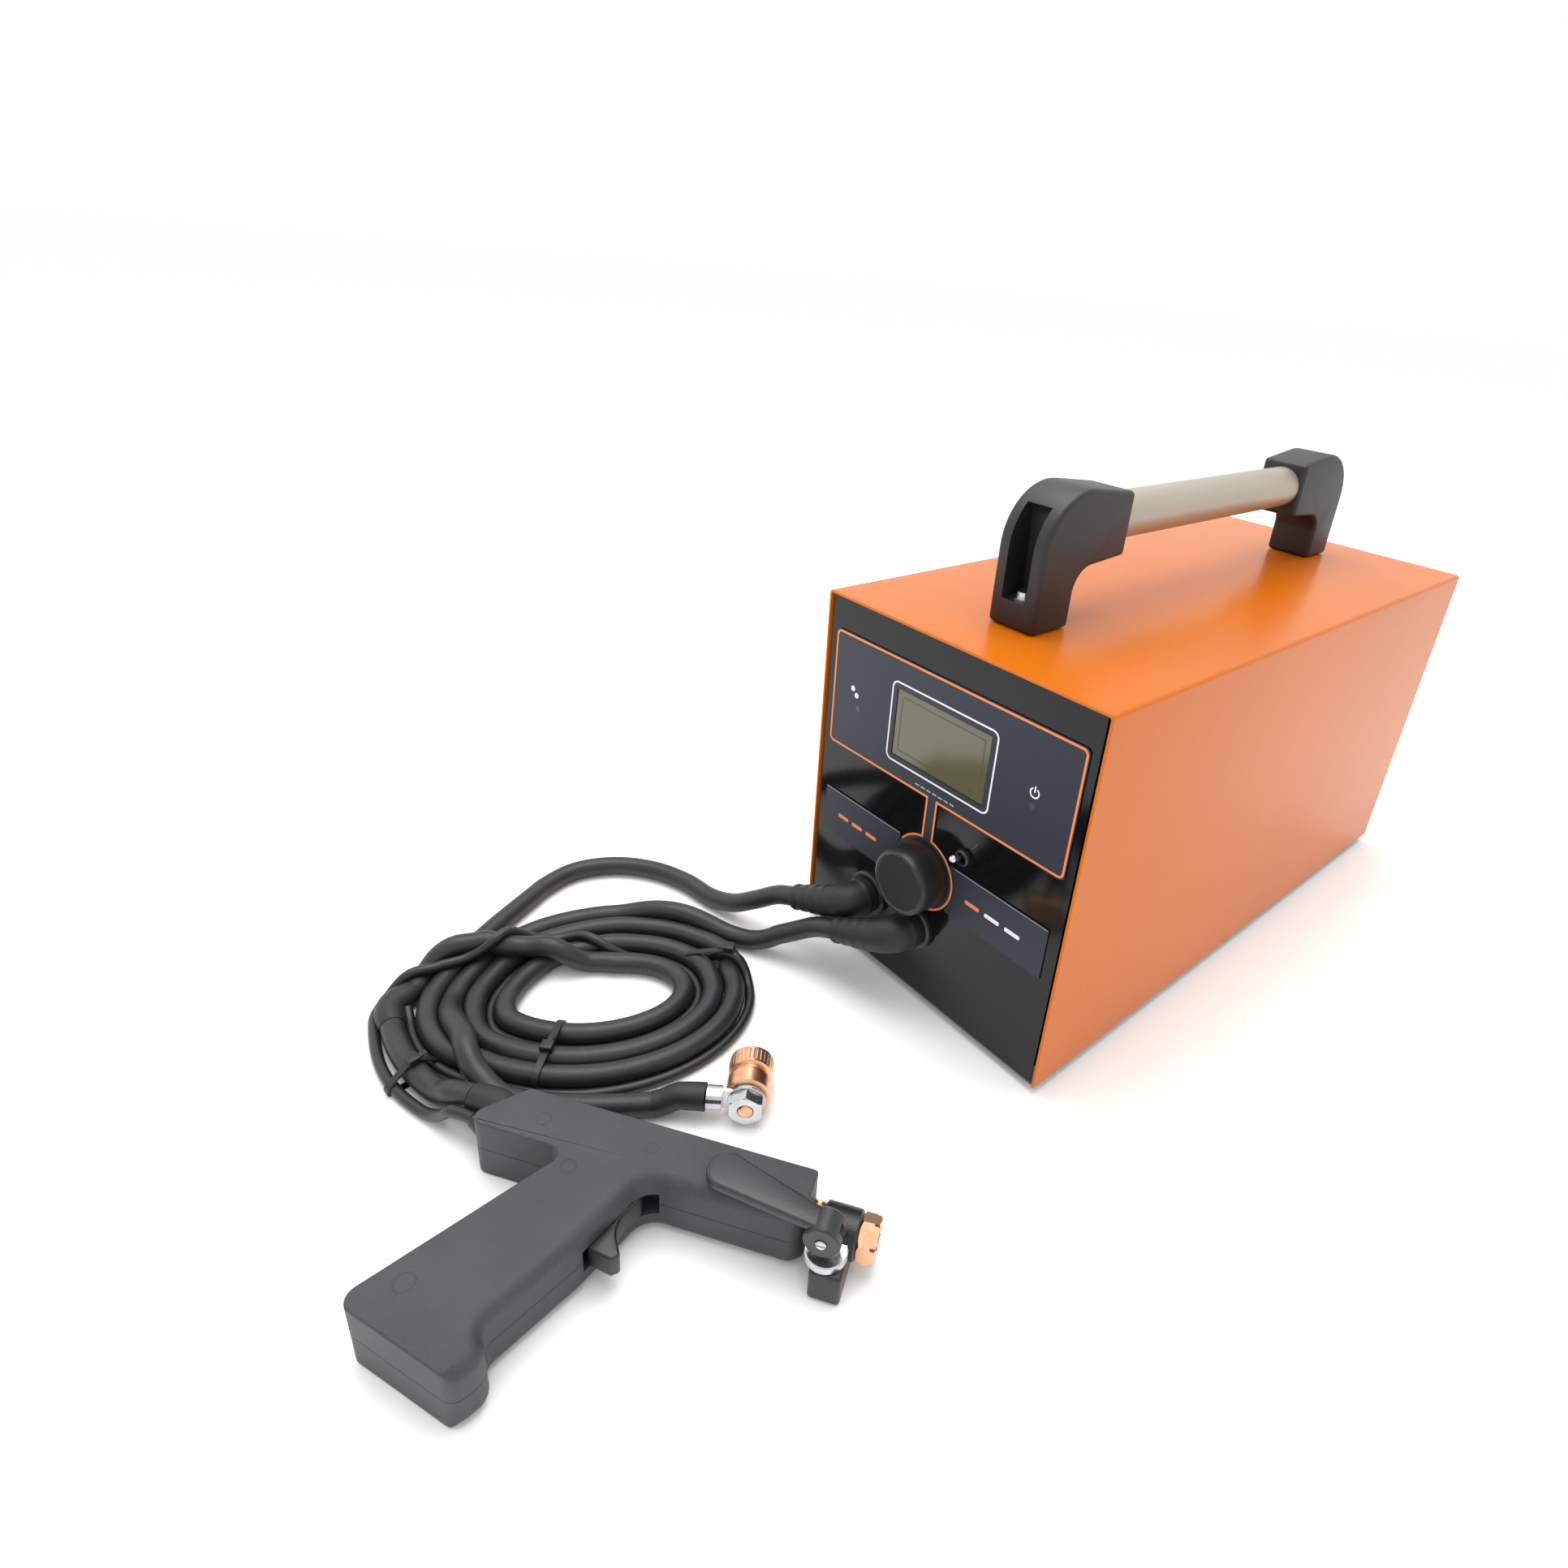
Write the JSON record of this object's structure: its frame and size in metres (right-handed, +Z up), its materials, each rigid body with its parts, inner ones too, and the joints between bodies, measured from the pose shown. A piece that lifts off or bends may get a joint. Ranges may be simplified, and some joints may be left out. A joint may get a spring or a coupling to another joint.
{
  "type": "spot welder",
  "caption": "Portable sheet-metal spot welder: orange steel case with carrying handle, control panel, and a trigger welding gun and ground terminal on coiled heavy cables.",
  "frame": {"origin": "centre of the case's flat underside", "axes": "+Z up; +Y from the control panel to the back of the case; +X to the right of a person facing the panel"},
  "size_m": [0.354, 0.7908, 0.3135],
  "materials": {
    "orange_powder_coat": "gloss",
    "black_gloss_panel": "gloss",
    "navy_membrane": "satin",
    "display_glass": "gloss",
    "black_plastic": "satin",
    "gun_plastic": "satin",
    "black_rubber": "matte",
    "cable_rubber": "matte",
    "handle_aluminium": "satin",
    "plated_steel": "gloss",
    "dark_steel": "satin",
    "brass": "gloss",
    "copper": "gloss",
    "circuit_board": "satin",
    "core_steel": "matte",
    "winding_tape": "matte",
    "red_rocker": "gloss"
  },
  "bodies": {
    "machine": {"base_pan": "dark_steel", "cable_coil": "cable_rubber", "clamp_pin": "plated_steel", "clamp_post": "plated_steel", "control_board": "circuit_board", "control_cable_relief": "black_rubber", "control_cable_tail": "cable_rubber", "cover": "orange_powder_coat", "display_window": "display_glass", "electrode_holder": "black_plastic", "encoder_body": "dark_steel", "fan_frame": "black_plastic", "fan_guard": "plated_steel", "foot_front_left": "black_rubber", "foot_front_right": "black_rubber", "foot_rear_left": "black_rubber", "foot_rear_right": "black_rubber", "front_panel": "black_gloss_panel", "ground_cable_boot": "black_rubber", "ground_cable_lead": "cable_rubber", "ground_cable_tail": "cable_rubber", "ground_contact": "copper", "ground_lug": "plated_steel", "ground_nut": "plated_steel", "ground_socket": "dark_steel", "gun_cable_boot": "black_rubber", "gun_cable_lead": "cable_rubber", "gun_cable_relief": "black_rubber", "gun_cable_tail": "cable_rubber", "gun_conductor": "brass", "gun_shell_lower": "gun_plastic", "gun_shell_upper": "gun_plastic", "gun_socket": "dark_steel", "handle_bracket_front": "black_plastic", "handle_bracket_rear": "black_plastic", "handle_screw_front": "plated_steel", "handle_screw_rear": "plated_steel", "handle_tube": "handle_aluminium", "heat_sink": "handle_aluminium", "label_strip_left": "navy_membrane", "label_strip_right": "navy_membrane", "lcd_module": "dark_steel", "mains_gland": "black_plastic", "mains_switch_body": "black_plastic", "membrane_overlay": "navy_membrane", "primary_winding": "winding_tape", "rear_panel": "dark_steel", "secondary_winding": "copper", "thyristor_module": "black_plastic", "toggle_bush": "black_plastic", "transformer_core": "core_steel", "trigger_pin": "plated_steel", "trigger_switch": "black_plastic"},
    "knob": {"control_knob": "black_plastic"},
    "toggle": {"toggle_lever": "plated_steel"},
    "rocker": {"mains_rocker": "red_rocker"},
    "fan": {"fan_rotor": "black_plastic"},
    "finger_trigger": {"trigger": "black_plastic"},
    "lever": {"clamp_lever": "gun_plastic"},
    "nose_nut": {"electrode_nut": "copper"}
  },
  "joints": [
    {"name": "knob_turn", "type": "hinge", "parent": "machine", "child": "knob", "pos_m": [-0.001, -0.2235, 0.086], "axis": [0, -1, 0], "continuous": true},
    {"name": "toggle_flip", "type": "hinge", "parent": "machine", "child": "toggle", "pos_m": [0.027, -0.2225, 0.112], "axis": [1, 0, 0], "range_deg": [0, 28]},
    {"name": "rocker_press", "type": "hinge", "parent": "machine", "child": "rocker", "pos_m": [0.058, 0.2195, 0.165], "axis": [1, 0, 0], "range_deg": [0, 10]},
    {"name": "fan_spin", "type": "hinge", "parent": "machine", "child": "fan", "pos_m": [-0.036, 0.2087, 0.12], "axis": [0, 1, 0], "continuous": true},
    {"name": "trigger_pull", "type": "hinge", "parent": "machine", "child": "finger_trigger", "pos_m": [0.02903, -0.42919, 0.011], "axis": [0, 0, -1], "range_deg": [0, 7], "stiffness_Nm_per_rad": 0.4, "springref_deg": -17.19},
    {"name": "lever_lift", "type": "hinge", "parent": "machine", "child": "lever", "pos_m": [0.10766, -0.38303, 0.028], "axis": [-0.5592, 0.829, 0], "range_deg": [0, 90]},
    {"name": "nut_turn", "type": "hinge", "parent": "machine", "child": "nose_nut", "pos_m": [0.11063, -0.36329, 0.011], "axis": [0.829, 0.5592, 0], "continuous": true}
  ]
}
